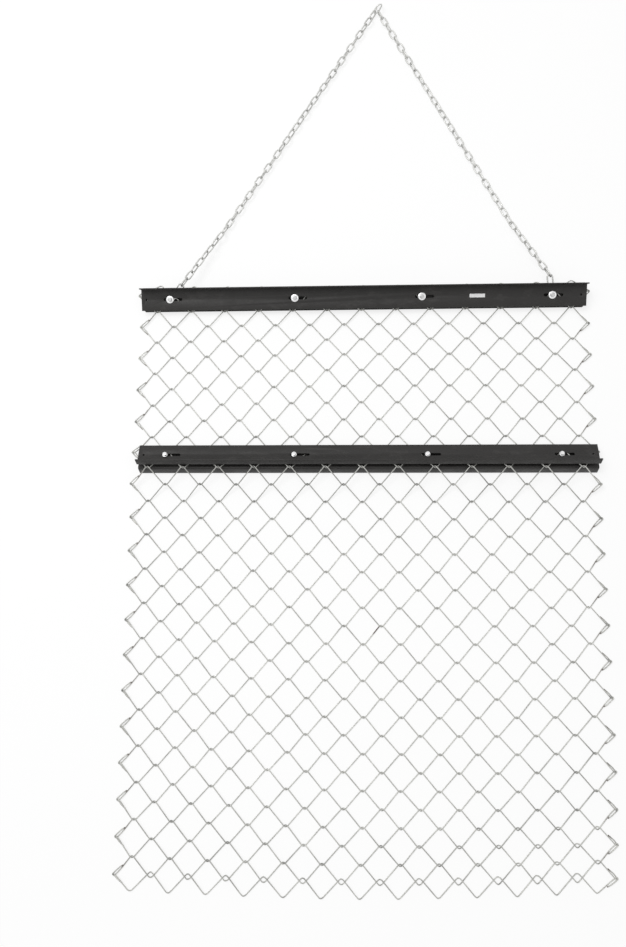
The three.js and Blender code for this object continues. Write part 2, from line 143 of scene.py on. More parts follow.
knuckle_reach = 1.8 * mm
bend_step = 2.9 * mm
bend_cut = 3.8 * mm
sloping_rows = 2
net_edge_past_hooks = 2.33 * mm
edge_hook_inset = 6.5 * mm
front_tip_back = 4 * mm
front_tip_bow = 7.5 * mm
front_tip_aside = 6.5 * mm
front_tip_spread = 9.5 * mm
rear_tip_ahead = 2 * mm
first_free_level = rows_to_second_bar + 2
loose_hooks = {32: 3 * mm, 33: 6 * mm, 34: 4 * mm, 35: 9 * mm}
rusty_strand = (37 * mm, -568 * mm, 4 * mm)


# Where the rows and bars lie


def bar_height(gap):
    return lower_flange / 2 * math.sin(rail_tilt) + (gap / 2 + rail_wall) * math.cos(rail_tilt)


def in_bar(side, y, z, ahead, over):
    """The (y, z) of a point in a bar's plane, ahead of its bolts and over the clamp's middle."""
    slope = side * rail_tilt
    return (
        y + ahead * math.cos(slope) - over * math.sin(slope),
        z + ahead * math.sin(slope) + over * math.cos(slope),
    )


def lay_profile():
    """The side profile of the mat: its rows from front to rear, and its two bars."""
    rows = []

    def add(line, slope, length=row_length, slack=0.0):
        rows.append(Row(line[0], line[1], slope, length, slack))
        return (line[0] - length * math.cos(slope), line[1] + length * math.sin(slope))

    front_z = bar_height(front_clamp_gap)
    front_over = -front_clamp_gap / 2 + front_lower_room + mesh_half_thickness
    second_over = -second_clamp_gap / 2 + second_lower_room + mesh_half_thickness
    first_ahead = front_row_length + row_length - front_line_behind_bolts
    add(in_bar(1, 0, front_z, first_ahead, front_over), -rail_tilt, front_row_length)
    line = add(in_bar(1, 0, front_z, row_length - front_line_behind_bolts, front_over), -rail_tilt)
    clamp_edge = in_bar(1, 0, front_z, -front_line_behind_bolts, front_over)
    front_slope = -math.asin((clamp_edge[1] - mesh_half_thickness) / diamond_length)
    while len(rows) < rows_to_second_bar:
        line = add(line, front_slope if len(rows) < rows_in_front_bar + sloping_rows else 0)
    second_z = bar_height(second_clamp_gap)
    middle = in_bar(-1, 0, second_z, row_length - second_line_behind_bolts, second_over)
    line = add(line, math.asin((middle[1] - line[1]) / row_length))
    second_y = line[0] - middle[0]
    line = add(line, rail_tilt)
    rear_slope = -math.asin((line[1] - mesh_half_thickness) / diamond_length)
    sloping_end = len(rows) + sloping_rows
    while len(rows) < mesh_rows:
        line = add(line, rear_slope if len(rows) < sloping_end else 0)
    last = rows[-1]
    rows[-1] = last._replace(y=last.y + last_row_slack, slack=last_row_slack)
    hinge = next(joint for joint in frame["joints"] if joint["name"] == "weave_hinge_01")["pos_m"]
    move_y = hinge[1] - rows[rows_in_front_bar].y
    move_z = hinge[2] - rows[rows_in_front_bar].z
    rows = [row._replace(y=row.y + move_y, z=row.z + move_z) for row in rows]
    second_y += move_y
    second_z += move_z
    front = Bar("front", 1, move_y, front_z + move_z, front_clamp_gap, 0, front_bolt_places, "front_bar")
    second = front._replace(name="second", side=-1, y=second_y, z=second_z, gap=second_clamp_gap)
    second = second._replace(flange_shift=second_bar_shift, bolts=second_bolt_places, body="second_bar")
    return rows, [front, second]


rows, bars = lay_profile()
half_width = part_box("mesh_pair_09")[1].x - net_edge_past_hooks
diamond_width = 2 * half_width / diamonds_across
nodes_of_body = frame["record"]["behaviour"]["bodies"]
body_of_node = {node: body for body, nodes in nodes_of_body.items() for node in nodes}


def bar_matrix(bar):
    return Matrix.Translation((0, bar.y, bar.z)) @ Matrix.Rotation(bar.side * rail_tilt, 4, "X")


# Hands: the small moves that every piece is made with


def deselect_all():
    if bpy.context.object and bpy.context.object.mode != "OBJECT":
        close_mesh()
    bpy.ops.object.select_all(action="DESELECT")


def take(obj):
    deselect_all()
    obj.select_set(True)
    bpy.context.view_layer.objects.active = obj
    return obj


def settle(obj):
    """Puts the object's own place into its mesh."""
    take(obj)
    bpy.ops.object.transform_apply(location=True, rotation=True, scale=True)
    return obj


def apply_modifier(obj, kind, **values):
    take(obj)
    modifier = obj.modifiers.new(kind.title(), kind)
    for key, value in values.items():
        setattr(modifier, key, value)
    bpy.ops.object.modifier_apply(modifier=modifier.name)
    return obj


def open_mesh(select="SELECT"):
    bpy.ops.object.mode_set(mode="EDIT")
    bpy.ops.mesh.select_all(action=select)


def close_mesh():
    bpy.ops.object.mode_set(mode="OBJECT")


def cut(obj, tool, operation="DIFFERENCE"):
    """Cuts an object with a tool, which is used up."""
    apply_modifier(obj, "BOOLEAN", operation=operation, object=tool, solver="EXACT")
    drop(tool)
    return turn_faces_out(obj)


def turn_faces_out(obj):
    take(obj)
    open_mesh()
    bpy.ops.mesh.remove_doubles(threshold=1e-6)
    bpy.ops.mesh.normals_make_consistent(inside=False)
    close_mesh()
    return obj


def smooth(obj, degrees):
    take(obj)
    bpy.ops.object.shade_smooth_by_angle(angle=math.radians(degrees))
    return obj


def named(obj, name):
    obj.name = name
    obj.data.name = name
    return obj


def new_shape(add, **values):
    """What the given operator adds, with nothing else selected."""
    deselect_all()
    add(**values)
    return bpy.context.object


def copy_of(obj, name, matrix):
    """A copy with its own mesh, placed in its mesh."""
    take(obj)
    bpy.ops.object.duplicate(linked=False)
    made = bpy.context.object
    made.data.transform(matrix)
    return named(made, name)


def drop(obj):
    take(obj)
    bpy.ops.object.delete()


def join(objects, name):
    deselect_all()
    for obj in objects:
        obj.select_set(True)
    bpy.context.view_layer.objects.active = objects[0]
    if len(objects) > 1:
        bpy.ops.object.join()
    return named(bpy.context.object, name)


def hand_over(obj, node, material):
    """Gives a finished piece its material and body, and hides the plain solid that it stands for."""
    obj.data.materials.clear()
    obj.data.materials.append(material)
    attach(obj, body_of_node[node])
    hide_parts(node)
    deselect_all()
    return obj


def wire_piece(name, paths, radius, sides, closed=False, swell=None):
    """Round wire along one or more paths, drawn as a curve and turned into a mesh."""
    curve = new_shape(bpy.ops.curve.primitive_bezier_curve_add)
    curve.data.splines.clear()
    curve.data.dimensions = "3D"
    curve.data.bevel_depth = radius
    curve.data.bevel_resolution = sides // 2 - 2  # Blender makes two more faces than this on each half
    curve.data.use_fill_caps = not closed
    for path in paths:
        spline = curve.data.splines.new("POLY")
        spline.points.add(len(path) - 1)
        spline.use_cyclic_u = closed
        for i, (point, at) in enumerate(zip(spline.points, path)):
            point.co = (*at, 1)
            point.radius = swell[i] if swell else 1
    take(curve)
    bpy.ops.object.convert(target="MESH")
    made = named(bpy.context.object, name)
    take(made)
    bpy.ops.object.shade_smooth()
    return made


def rounded(corners, steps):
    """A path through corners, each a (point, cut before, cut after), rounded off between the two cuts."""
    points = [corners[0][0]]
    longest_cut_share = 0.49
    for i in range(1, len(corners) - 1):
        at, before, after = corners[i]
        back = corners[i - 1][0] - at
        on = corners[i + 1][0] - at
        start = at + back.normalized() * min(before, back.length * longest_cut_share)
        end = at + on.normalized() * min(after, on.length * longest_cut_share)
        for k in range(steps + 1):
            t = k / steps
            points.append(start * (1 - t) ** 2 + at * 2 * t * (1 - t) + end * t * t)
    points.append(corners[-1][0])
    return points


# Materials

rust_brown = (0.11, 0.082, 0.066, 1)
rust_full_within = 9 * mm
rust_none_beyond = 15 * mm


def new_material(name):
    material = bpy.data.materials.new(name)
    material.use_nodes = True
    tree = material.node_tree
    return material, tree, tree.nodes["Principled BSDF"]


def feed(tree, socket, value):
    """Sets an input to a value or to another node's output."""
    if isinstance(value, bpy.types.NodeSocket):
        tree.links.new(value, socket)
    else:
        socket.default_value = value


def set_inputs(tree, node, *first, **inputs):
    """Feeds a node's first inputs, and others by their names, where a low line stands for a space."""
    for socket, value in zip(node.inputs, first):
        feed(tree, socket, value)
    for name, value in inputs.items():
        feed(tree, node.inputs[name.replace("_", " ")], value)
    return node


def new_node(tree, kind, *first, **inputs):
    return set_inputs(tree, tree.nodes.new("ShaderNode" + kind), *first, **inputs)


def object_place(tree):
    return new_node(tree, "TexCoord").outputs["Object"]


def object_noise(tree, scale, detail=4, roughness=0.55, stretch=(1, 1, 1)):
    """Noise in object coordinates, stretched along the given axes."""
    place = new_node(tree, "Mapping", Vector=object_place(tree), Scale=stretch).outputs["Vector"]
    noise = new_node(tree, "TexNoise", Vector=place, Scale=scale, Detail=detail, Roughness=roughness)
    return noise.outputs["Fac"]


def attribute(tree, name):
    node = new_node(tree, "Attribute")
    node.attribute_name = name
    return node.outputs["Fac"]


def ramp(tree, source, stops):
    node = new_node(tree, "ValToRGB", Fac=source)
    node.color_ramp.elements[0].position, node.color_ramp.elements[0].color = stops[0]
    node.color_ramp.elements[1].position, node.color_ramp.elements[1].color = stops[-1]
    for position, color in stops[1:-1]:
        node.color_ramp.elements.new(position).color = color
    return node.outputs["Color"]


def shade_of(color, factor):
    return (*[min(1.0, c * factor) for c in color], 1)


def grey(value):
    return (value, value, value, 1)


def mixed(tree, factor, a, b, blend="MIX"):
    node = new_node(tree, "Mix")
    node.data_type = "RGBA"
    node.blend_type = blend
    set_inputs(tree, node, factor)
    for name, value in (("A", a), ("B", b)):
        feed(tree, next(s for s in node.inputs if s.name == name and s.type == "RGBA"), value)
    return next(s for s in node.outputs if s.type == "RGBA")


def bumped(tree, height, strength, distance):
    bump = new_node(tree, "Bump", Height=height, Strength=strength, Distance=distance)
    return bump.outputs["Normal"]


def near_point(tree, point, full, none):
    """One near a point and nothing far from it, in object coordinates."""
    apart = new_node(tree, "VectorMath", object_place(tree), point)
    apart.operation = "DISTANCE"
    fade = new_node(tree, "MapRange", Value=apart.outputs["Value"], From_Min=none, From_Max=full)
    return fade.outputs["Result"]


def galvanised_wire(name, color, metallic, cloud_scale, rust_at=None):
    """Hot-dipped zinc: cloudy grey, with hooks darkened by painted shade and wear, fine dull spots and a
    touch of rust.
    """
    material, tree, shader = new_material(name)
    shades = [(0.3, shade_of(color, 0.78)), (0.5, shade_of(color, 1.0)), (0.72, shade_of(color, 1.2))]
    clouds = ramp(tree, object_noise(tree, cloud_scale, 5), shades)
    spangle = new_node(tree, "TexVoronoi", Scale=420, Vector=object_place(tree))
    flakes = ramp(tree, spangle.outputs["Color"], [(0.1, grey(0.82)), (0.9, grey(1.0))])
    tinted = mixed(tree, 0.6, clouds, flakes, "MULTIPLY")
    # Painted shade where the wires cross at the hooks, mixed with wear: the zinc darkens to 0.42 of its
    # colour there
    shaded_and_rubbed = mixed(tree, attribute(tree, "hook_wear"), tinted, shade_of(color, 0.42))
    final = mixed(tree, attribute(tree, "rust_touch"), shaded_and_rubbed, rust_brown)
    if rust_at:
        final = mixed(tree, near_point(tree, rust_at, rust_full_within, rust_none_beyond), final, rust_brown)
    roughness = ramp(tree, object_noise(tree, 160, 3), [(0.3, grey(0.34)), (0.7, grey(0.52))])
    normal = bumped(tree, object_noise(tree, 900, 3), 0.25, 0.2 * mm)
    set_inputs(tree, shader, Base_Color=final, Metallic=metallic, Roughness=roughness, Normal=normal)
    return material


def rail_paint(name, color):
    """Satin black paint: a little dust, long handling scuffs, and an uneven sheen."""
    material, tree, shader = new_material(name)
    shades = [(0.25, shade_of(color, 0.78)), (0.55, shade_of(color, 1.0)), (0.8, shade_of(color, 1.3))]
    base = ramp(tree, object_noise(tree, 7, 6, 0.6, (0.5, 1, 1)), shades)
    dust = ramp(tree, object_noise(tree, 45, 8, 0.7, (0.4, 1, 1)), [(0.52, grey(0)), (0.78, grey(1))])
    dusted = mixed(tree, dust, base, shade_of(color, 1.9))
    scuffs = ramp(tree, object_noise(tree, 60, 2, 0.5, (0.04, 1, 1)), [(0.7, grey(0)), (0.76, grey(0.5))])
    scuffed = mixed(tree, scuffs, dusted, shade_of(color, 2.6))
    roughness = ramp(tree, object_noise(tree, 30, 5), [(0.3, grey(0.38)), (0.75, grey(0.58))])
    normal = bumped(tree, object_noise(tree, 700, 4), 0.18, 0.3 * mm)
    set_inputs(tree, shader, Base_Color=scuffed, Roughness=roughness, Normal=normal, Specular_IOR_Level=0.24)
    return material


def bright_zinc(name, color, roughness):
    """Plated fasteners: brighter than the wire, with turned marks and a few dull patches."""
    material, tree, shader = new_material(name)
    base = ramp(tree, object_noise(tree, 120, 4), [(0.3, shade_of(color, 0.8)), (0.7, shade_of(color, 1.1))])
    shine = [(0.3, grey(roughness)), (0.7, grey(roughness + 0.14))]
    dull = ramp(tree, object_noise(tree, 300, 2), shine)
    normal = bumped(tree, object_noise(tree, 1500, 2), 0.15, 0.1 * mm)
    set_inputs(tree, shader, Base_Color=base, Metallic=0.75, Roughness=dull, Normal=normal)
    return material


def blank_label(name, color):
    """Plain white film with a soft sheen and a slightly uneven white. Nothing is printed on it."""
    material, tree, shader = new_material(name)
    base = ramp(tree, object_noise(tree, 90, 5), [(0.3, shade_of(color, 0.94)), (0.6, shade_of(color, 1.0))])
    set_inputs(tree, shader, Base_Color=base, Roughness=0.45)
    return material


# Settings that a user would change

sensor_width = 36  # Blender's own unit for lenses, which is a millimetre
photo_height_pixels = 947
focal_pixels = 800
focal_length = focal_pixels / photo_height_pixels * sensor_width


def length_setting(name, description, default):
    return FloatProperty(name=name, description=description, default=default, unit="LENGTH")


def angle_setting(name, description, degrees):
    return FloatProperty(name=name, description=description, default=math.radians(degrees), subtype="ANGLE")


def color_setting(name, description, default):
    return FloatVectorProperty(name=name, description=description, default=default, subtype="COLOR")


class WovenWireSettings(PropertyGroup):
    wire_diameter: length_setting("Wire diameter", "Thickness of the woven wire", mesh_wire)
    wire_sides: IntProperty(name="Wire sides", description="Faces round each wire", default=8)
    unevenness: length_setting("Unevenness", "How far a hook may lie to the side of its place", 1.5 * mm)
    tail_length: length_setting("Tail length", "Length of the wire's end that is folded back", 27 * mm)
    color: color_setting("Zinc colour", "Colour of the galvanised wire", (0.59, 0.59, 0.56))


class RailSettings(PropertyGroup):
    length: length_setting("Rail length", "Length of each rail", rail_length)
    bend_radius: length_setting("Bend radius", "Outer radius of the pressed bend", rail_bend_radius)
    slot_length: length_setting("Slot length", "Length of a bolt slot", slot_length)
    slot_width: length_setting("Slot width", "Width of a bolt slot", slot_width)
    color: color_setting("Paint colour", "Colour of the black paint", (0.034, 0.0325, 0.0315))


class FastenerSettings(PropertyGroup):
    bolt_diameter: length_setting("Bolt diameter", "Diameter of the bolt's thread", bolt_diameter)
    thread_pitch: length_setting("Thread pitch", "Distance from one thread ridge to the next", 1 * mm)
    color: color_setting("Plating colour", "Colour of the bright zinc", (0.86, 0.86, 0.86))


class ChainSettings(PropertyGroup):
    wire_diameter: length_setting("Link wire", "Thickness of the links' wire", link_wire)
    inside_length: length_setting("Inside length", "Inside length of a link", link_inside_length)
    inside_width: length_setting("Inside width", "Inside width of a link", link_inside_width)
    roll: angle_setting("Roll", "How far a link lies rolled off its neighbours", 8)
    twist: angle_setting("Twist", "How far the chain twists along its length", 14)
    color: color_setting("Chain colour", "Colour of the links", (0.66, 0.66, 0.64))


class StudioSettings(PropertyGroup):
    floor_size: length_setting("Floor size", "Width of the pale floor", 24.0)
    floor_color: color_setting("Floor colour", "Colour of the floor", (0.8, 0.8, 0.8))
    key_height: length_setting("Lamp height", "Height of the main soft lamp", 4.5)
    lens: FloatProperty(name="Lens", description="Focal length", default=focal_length, unit="CAMERA")


# Woven wire


def on_row(row, x, back, over):
    return Vector(
        (
            x,
            row.y - back * math.cos(row.slope) + over * math.sin(row.slope),
            row.z + back * math.sin(row.slope) + over * math.cos(row.slope),
        )
    )


def hook_offsets(unevenness):
    """Where each hook really lies beside its place. Rows that share a hook share its offset."""
    dice = random.Random(36)
    calm_levels = {0, 1, 2, 3, 10, 11, 12}
    calm_share, along_share = 0.25, 0.3
    offsets = {}
    for level in range(mesh_rows + 1):
        calm = calm_share if level in calm_levels else 1.0
        for column in range(2 * diamonds_across + 1):
            across = dice.uniform(-1, 1) * unevenness * calm
            along = dice.uniform(-1, 1) * unevenness * along_share * calm
            offsets[level, column] = (across, along)
    return offsets


def settled(level, x):
    """How far aside and rearward a hook has drifted from its even place, as the mat was laid down.
    Both are smooth curves in millimetres, fitted to the photo's hooks, that start behind the front bar."""
    if level < rows_in_front_bar:
        return 0.0, 0.0
    side = x / half_width
    way = level / mesh_rows
    spread = -3.0 + 1.7 * side + 21.5 * way * (1 - way ** 2)
    sway = 2.4 + 8.6 * way ** 2 - 16.8 * way ** 5
    aside = side * spread + way * sway
    if level <= rows_to_second_bar:
        between = (level - rows_in_front_bar) / (rows_to_second_bar - rows_in_front_bar)
        sag = -36.7 + 4.8 * side + 25.6 * side ** 2 - between * (6.2 + 22.4 * side)
        rearward = between * (1 - between) * sag
        rearward -= 2.2 * (1 - between) ** 3 + 4 * between ** 6
    else:
        behind = max(0.0, (level - first_free_level) / (mesh_rows - first_free_level))
        rearward = behind * (18.9 + 5.2 * side - 27.3 * side ** 2) + 70.1 * behind ** 2
        rearward += -(behind ** 3) * (123.9 + 13.4 * side - 19.5 * side ** 2)
        rearward += 34.8 * behind ** 5 + 7.6 * side * behind ** 6
        rearward -= 3.5 * max(0.0, 1 - (level - rows_to_second_bar) / 3.5)
    return aside * mm, rearward * mm


def slid_forward(index, x):
    """How far a row lies slid forward by the loose hooks at its front and ahead of it, most at the right."""
    starts_left_share = 0.1
    corner = max(0.0, x / half_width + starts_left_share) / (1 + starts_left_share)
    return sum(loose for level, loose in loose_hooks.items() if level <= index) * corner ** 1.3


def edge_hook(open_eye, outward, toward, crossing, tail):
    """Corners of a wire's end from its last strand to its tail, as (across, back, over) with cuts.
    An open hook lies flat round the other wire, and a tight one dives through its eye and back under it.
    The corners are drawn in millimetres from the crossing, along the strand and to the mat's outside."""
    along = Vector(toward).normalized()
    lateral = Vector((along.y, -along.x))
    lateral *= math.copysign(1, lateral.x * outward)
    at = Vector(crossing)

    def corner(a, b, over, cut):
        place = at + along * a * mm + lateral * b * mm
        return (Vector((place.x, place.y, over)), cut * mm, cut * mm)

    length = tail / mm
    if open_eye:
        return [
            corner(-17, 0, -half_weave, 8),
            corner(-3, 0, -0.5 * mm, 3),
            corner(4.8, 0.2, -0.45 * mm, 2.7),
            corner(4.8, 6.2, -0.45 * mm, 2.7),
            corner(-8, 5.8, -0.7 * mm, 6),
            corner(-length + 7, 5.0, -1.0 * mm, 6),
            corner(-length, 2.7, -1.4 * mm, 0),
        ]
    return [
        corner(-6, 0, half_weave, 3),
        corner(3.2, 0, half_weave, 2.4),
        corner(3.0, 3.4, -3.4 * mm, 2.4),
        corner(-4, 4.7, -3.35 * mm, 3),
        corner(-10, 4.9, -2.2 * mm, 3),
        corner(-length + 2, 3.1, -0.9 * mm, 0),
    ]


def row_path(index, offsets, tail):
    """The line of one row's wire from its left tail to its right one."""
    row = rows[index]
    even = index % 2 == 0
    corners = []

    def bend(column, level, back, way_up):
        across, along = offsets[level, column]
        x = column * diamond_width / 2 - half_width + across
        aside, rearward = settled(level, x)
        y = back - along + rearward - slid_forward(index, x)
        if level == 0:
            side = x / half_width
            y += front_tip_back + front_tip_bow * (1 - side ** 4)
            x += front_tip_aside - front_tip_spread * side
        elif level == mesh_rows:
            y -= rear_tip_ahead
        x += aside
        free = level in (0, mesh_rows)
        step = 3 * mm if free else bend_step
        far = 6 * mm if free else bend_cut
        corners.append((Vector((x - step, y, -way_up * half_weave)), far, bend_cut))
        corners.append((Vector((x + step, y, way_up * half_weave)), bend_cut, far))

    edge_back = row.length if even else row.slack
    edge_x = half_width - edge_hook_inset
    paired = index - index % 2
    edge_slide = (slid_forward(paired, edge_x) + slid_forward(paired + 1, edge_x)) / 2
    reach = row.length + 2 * knuckle_reach
    lean = reach if even else row.slack - reach

    def wire_end(side, open_eye, slide):
        aside, rearward = settled(paired + 1, side * edge_x)
        crossing = (side * edge_x + aside, edge_back + rearward - slide)
        return edge_hook(open_eye, side, (side * diamond_width / 2, lean), crossing, tail)

    corners += wire_end(-1, even, 0)[::-1]
    for column in range(1, 2 * diamonds_across):
        if (column % 2 == 1) == even:
            bend(column, index, -knuckle_reach, 1)
        else:
            bend(column, index + 1, row.length + knuckle_reach, -1)
    corners += wire_end(1, not even, edge_slide)
    placed = [(on_row(row, *point), before, after) for point, before, after in corners]
    return rounded(placed, 3)


def mark_wire(obj, first, cut_ends):
    """Darkens the places about where the even net's rows hook into each other with painted shade and wear,
    and browns cut ends.
    """
    shade_and_wear_reach_back, shade_and_wear_reach_aside = 5.5 * mm, 8 * mm
    rust_full, rust_none = 1.6 * mm, 5 * mm
    dice = random.Random(first)
    strength = {}
    shade_and_wear = []
    rusty = []
    last = rows[first + 1]
    levels = [rows[first].y, last.y, last.y - last.length * math.cos(last.slope)]
    for vertex in obj.data.vertices:
        level, gap = min(((k, abs(vertex.co.y - y)) for k, y in enumerate(levels)), key=lambda p: p[1])
        column = round((vertex.co.x + half_width) / (diamond_width / 2))
        beside = abs(vertex.co.x + half_width - column * diamond_width / 2)
        near = max(0.0, 1 - gap / shade_and_wear_reach_back) * max(0.0, 1 - beside / shade_and_wear_reach_aside)
        key = (level, column)
        if key not in strength:
            strength[key] = dice.uniform(0.25, 0.95)
        # Painted shade and wear: darkest nearest each hook, with a random strength for each hook
        shade_and_wear.append(min(1.0, 1.6 * near) * strength[key])
        far = min((vertex.co - end).length for end in cut_ends)
        rusty.append(min(1.0, max(0.0, (rust_none - far) / (rust_none - rust_full))))
    for name, values in (("hook_wear", shade_and_wear), ("rust_touch", rusty)):
        obj.data.attributes.new(name, "FLOAT", "POINT").data.foreach_set("value", values)


class DRAGMAT_OT_woven_wire(Operator):
    """Models the hooked rows of woven wire, two rows to a piece"""

    bl_idname = "drag_mat.woven_wire"
    bl_label = "Woven wire"

    def execute(self, context):
        settings = context.scene.drag_mat_wire
        zinc = galvanised_wire("galvanised_wire", settings.color, 0.4, 22, rusty_strand)
        offsets = hook_offsets(settings.unevenness)
        for first in range(0, mesh_rows, 2):
            node = f"mesh_pair_{first // 2 + 1:02d}"
            paths = [row_path(i, offsets, settings.tail_length) for i in (first, first + 1)]
            pair = wire_piece("woven_" + node[-2:], paths, settings.wire_diameter / 2, settings.wire_sides)
            mark_wire(pair, first, [end for path in paths for end in (path[0], path[-1])])
            hand_over(pair, node, zinc)
        return {"FINISHED"}


# Rails

tolerance = 0.01 * mm


def open_selected(obj, kind, inside):
    """Opens a mesh with its edges or vertices selected that lie where inside says."""
    take(obj)
    open_mesh("DESELECT")
    bpy.ops.mesh.select_mode(type=kind)
    shape = bmesh.from_edit_mesh(obj.data)
    for part in shape.edges if kind == "EDGE" else shape.verts:
        ends = part.verts if kind == "EDGE" else [part]
        part.select_set(all(inside(v.co) for v in ends))
    bmesh.update_edit_mesh(obj.data)


def angle_rail(settings, flange, side, lip_way):
    """An angle in the bar's own plane: a flange from wall to toe and a lip at the wall, pressed in one piece.
    Its flange's inner face, which bears on the mesh side, lies at zero."""
    wall = side * flange / 2
    half_wall = rail_wall / 2 * lip_way
    rail = new_shape(bpy.ops.mesh.primitive_plane_add, size=1, location=(0, 0, half_wall))
    rail.scale = (settings.length, flange - rail_wall / 2, 1)
    rail.location.y = -side * rail_wall / 4
    settle(rail)
    mid_wall = wall - side * rail_wall / 2
    open_selected(rail, "EDGE", lambda p: abs(p.y - mid_wall) < tolerance)
    bpy.ops.mesh.extrude_region_move(
        TRANSFORM_OT_translate={"value": (0, 0, lip_way * (rail_lip - rail_wall / 2))}
    )
    close_mesh()
    open_selected(rail, "EDGE", lambda p: math.hypot(p.y - mid_wall, p.z - half_wall) < tolerance)
    bpy.ops.mesh.bevel(offset=settings.bend_radius - rail_wall / 2, segments=7, affect="EDGES")
    close_mesh()
    turn_faces_out(rail)
    apply_modifier(rail, "SOLIDIFY", thickness=rail_wall, offset=0, use_even_offset=True)
    return turn_faces_out(rail)


def slot_cutter(x, length, width):
    """A long hole's shape: a round bar drawn out between its two ends."""
    round_bar = {"vertices": 32, "radius": width / 2, "depth": 5 * rail_wall}
    tool = new_shape(bpy.ops.mesh.primitive_cylinder_add, **round_bar)
    open_selected(tool, "VERT", lambda p: p.x > tolerance)
    if length > width:
        bpy.ops.transform.translate(value=((length - width) / 2, 0, 0))
        bpy.ops.mesh.select_all(action="INVERT")
        bpy.ops.transform.translate(value=(-(length - width) / 2, 0, 0))
    close_mesh()
    tool.location.x = x
    return settle(tool)


def clip_cutter(x, y, clip):
    """A block that takes off a corner of a rail's flange at 45 degrees."""
    side = math.sqrt(2) * clip
    turn = (0, 0, math.pi / 4)
    tool = new_shape(bpy.ops.mesh.primitive_cube_add, size=1, location=(x, y, 0), rotation=turn)
    tool.scale = (side, side, 3 * rail_lip)
    return settle(tool)


class DRAGMAT_OT_rails(Operator):
    """Presses the four slotted rails of the two bars"""

    bl_idname = "drag_mat.rails"
    bl_label = "Rails"

    def execute(self, context):
        settings = context.scene.drag_mat_rails
        paint = rail_paint("satin_black_paint", settings.color)
        for bar in bars:
            for place, flange, lip_way in (("upper", upper_flange, 1), ("lower", lower_flange, -1)):
                rail = angle_rail(settings, flange, bar.side, lip_way)
                outer = settings.length / 2 - outer_slot_inset
                slots = [outer * (2 * i / (slots_per_rail - 1) - 1) for i in range(slots_per_rail)]
                slot = settings.slot_length
                if place == "lower":
                    slots = [x - bar.flange_shift for x in bar.bolts]
                    slot = 2 * settings.slot_width
                tools = [slot_cutter(x, slot, settings.slot_width) for x in slots]
                for end in (-1, 1):
                    hole_x = end * (settings.length / 2 - end_hole_inset)
                    tools.append(slot_cutter(hole_x, end_hole_diameter, end_hole_diameter))
                    if place == "lower":
                        toe = -bar.side * flange / 2
                        tools.append(clip_cutter(end * settings.length / 2, toe, corner_clip))
                cut(rail, join(tools, "cutter"))
                sharp = {"limit_method": "ANGLE", "angle_limit": math.radians(50)}
                apply_modifier(rail, "BEVEL", width=0.35 * mm, segments=2, **sharp)
                offset = Matrix.Translation((bar.flange_shift, 0, lip_way * bar.gap / 2))
                rail.data.transform(bar_matrix(bar) @ offset)
                smooth(named(rail, f"{bar.name}_{place}_angle"), 32)
                hand_over(rail, f"{bar.name}_{place}_rail", paint)
        return {"FINISHED"}


class DRAGMAT_OT_label(Operator):
    """Sticks the small blank label on the front bar"""

    bl_idname = "drag_mat.label"
    bl_label = "Blank label"

    def execute(self, context):
        bar = bars[0]
        length, width, thickness, corner = 40 * mm, 9.5 * mm, 0.18 * mm, 1.2 * mm
        right, ahead, off_paint = 304 * mm, 0.5 * mm, 0.02 * mm
        label = new_shape(bpy.ops.mesh.primitive_plane_add, size=1)
        label.scale = (length, width, 1)
        settle(label)
        open_mesh()
        bpy.ops.mesh.bevel(offset=corner, segments=4, affect="VERTICES")
        bpy.ops.mesh.extrude_region_move(TRANSFORM_OT_translate={"value": (0, 0, thickness)})
        close_mesh()
        turn_faces_out(label)
        over = bar.gap / 2 + rail_wall + off_paint
        label.data.transform(bar_matrix(bar) @ Matrix.Translation((right, ahead, over)))
        smooth(named(label, "blank_label"), 40)
        label.data.materials.append(blank_label("white_film", (0.98, 0.98, 0.98)))
        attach(label, bar.body)
        deselect_all()
        return {"FINISHED"}


# Bolts, washers and nuts

axis_gap = 0.01 * mm
washer_radii = {"front": 10 * mm, "second": 6.7 * mm}


def spun(name, profile, steps):
    """A closed profile in the XZ plane, spun round the Z axis."""
    made = new_shape(bpy.ops.mesh.primitive_plane_add)
    open_mesh()
    bpy.ops.mesh.delete(type="VERT")
    shape = bmesh.from_edit_mesh(made.data)
    ring = [shape.verts.new((x, 0, z)) for x, z in profile]
    for a, b in zip(ring, ring[1:] + ring[:1]):
        shape.edges.new((a, b))
    bmesh.update_edit_mesh(made.data)
    bpy.ops.mesh.select_all(action="SELECT")
    bpy.ops.mesh.spin(steps=steps, angle=2 * math.pi, center=(0, 0, 0), axis=(0, 0, 1))
    close_mesh()
    return named(turn_faces_out(made), name)


def hex_block(name, height):
    """A hexagon whose corners are turned off in a cone at the top and the bottom."""
    radius = hex_flats / math.sqrt(3)
    hexagon = {"vertices": 6, "radius": radius, "depth": height, "location": (0, 0, height / 2)}
    block = settle(new_shape(bpy.ops.mesh.primitive_cylinder_add, **hexagon))
    chamfer, flat_share, past_corners = 0.55 * mm, 0.97, 1.02
    low, high = hex_flats / 2 * flat_share, radius * past_corners
    side = [(low, 0), (high, chamfer), (high, height - chamfer), (low, height)]
    cone = spun("cone", [(axis_gap, 0), *side, (axis_gap, height)], 48)
    return named(cut(block, cone, "INTERSECT"), name)


def threaded_shank(settings, low, high):
    """A shank from low to high, with thread ridges over all but a plain length under the head."""
    plain_length, chamfer_in, chamfer_up = 6 * mm, 0.3 * mm, 0.4 * mm
    ridge_depth = 0.55 * settings.thread_pitch
    outer = settings.bolt_diameter / 2
    inner = outer - ridge_depth
    profile = [(axis_gap, low), (inner - chamfer_in, low)]
    z = low + chamfer_up
    while z < high - plain_length:
        profile += [(inner, z), (outer, z + settings.thread_pitch / 2)]
        z += settings.thread_pitch
    profile += [(inner, z), (outer, z + settings.thread_pitch / 2), (outer, high), (axis_gap, high)]
    return spun("shank", profile, 24)


